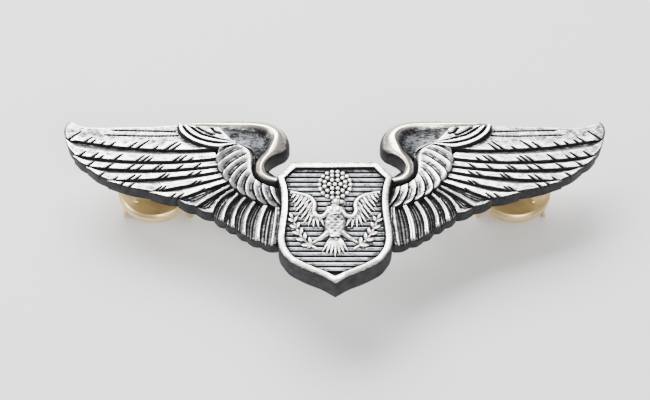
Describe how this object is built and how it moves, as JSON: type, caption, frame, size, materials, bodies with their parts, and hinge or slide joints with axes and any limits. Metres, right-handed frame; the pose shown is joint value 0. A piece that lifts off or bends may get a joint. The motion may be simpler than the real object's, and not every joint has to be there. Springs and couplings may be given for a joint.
{
  "type": "winged badge pin",
  "caption": "Struck metal badge of spread wings on a shield with a raised bird, held through cloth by posts and squeeze-to-release butterfly clutches.",
  "frame": {"origin": "middle of the badge's width, on the flat back of the shield, level with the badge's middle line", "axes": "+X to the viewer's right along the wings, +Y to the badge's top edge, +Z out of its struck face"},
  "size_m": [0.076, 0.0273, 0.0119],
  "materials": {
    "struck_silver": "antiqued silver: polished on its high points, blackened in its recesses",
    "post_steel": "plain drawn wire, turned to a point",
    "clutch_brass": "bright stamped brass sheet"
  },
  "bodies": {
    "badge": {"shield": "struck_silver", "left_wing": "struck_silver", "right_wing": "struck_silver", "left_post_pad": "struck_silver", "right_post_pad": "struck_silver", "left_post": "post_steel", "right_post": "post_steel"},
    "left_clutch": {"left_clutch_cup": "clutch_brass", "left_clutch_bow": "clutch_brass"},
    "left_upper_jaw": {"left_clutch_upper_jaw": "clutch_brass"},
    "left_lower_jaw": {"left_clutch_lower_jaw": "clutch_brass"},
    "right_clutch": {"right_clutch_cup": "clutch_brass", "right_clutch_bow": "clutch_brass"},
    "right_upper_jaw": {"right_clutch_upper_jaw": "clutch_brass"},
    "right_lower_jaw": {"right_clutch_lower_jaw": "clutch_brass"}
  },
  "joints": [
    {"name": "left_clutch_slide", "type": "slide", "parent": "badge", "child": "left_clutch", "axis": [0, 0, -1], "range_m": [0, 0.009]},
    {"name": "left_upper_jaw_squeeze", "type": "slide", "parent": "left_clutch", "child": "left_upper_jaw", "axis": [1, 0, 0], "range_m": [0, 0.0006], "stiffness_N_per_m": 50},
    {"name": "left_lower_jaw_squeeze", "type": "slide", "parent": "left_clutch", "child": "left_lower_jaw", "axis": [-1, 0, 0], "range_m": [0, 0.0006]},
    {"name": "right_clutch_slide", "type": "slide", "parent": "badge", "child": "right_clutch", "axis": [0, 0, -1], "range_m": [0, 0.009]},
    {"name": "right_upper_jaw_squeeze", "type": "slide", "parent": "right_clutch", "child": "right_upper_jaw", "axis": [1, 0, 0], "range_m": [0, 0.0006], "stiffness_N_per_m": 50},
    {"name": "right_lower_jaw_squeeze", "type": "slide", "parent": "right_clutch", "child": "right_lower_jaw", "axis": [-1, 0, 0], "range_m": [0, 0.0006]}
  ],
  "couplings": [
    {"joint": "left_lower_jaw_squeeze", "follows": "left_upper_jaw_squeeze", "ratio": 1},
    {"joint": "right_lower_jaw_squeeze", "follows": "right_upper_jaw_squeeze", "ratio": 1}
  ]
}
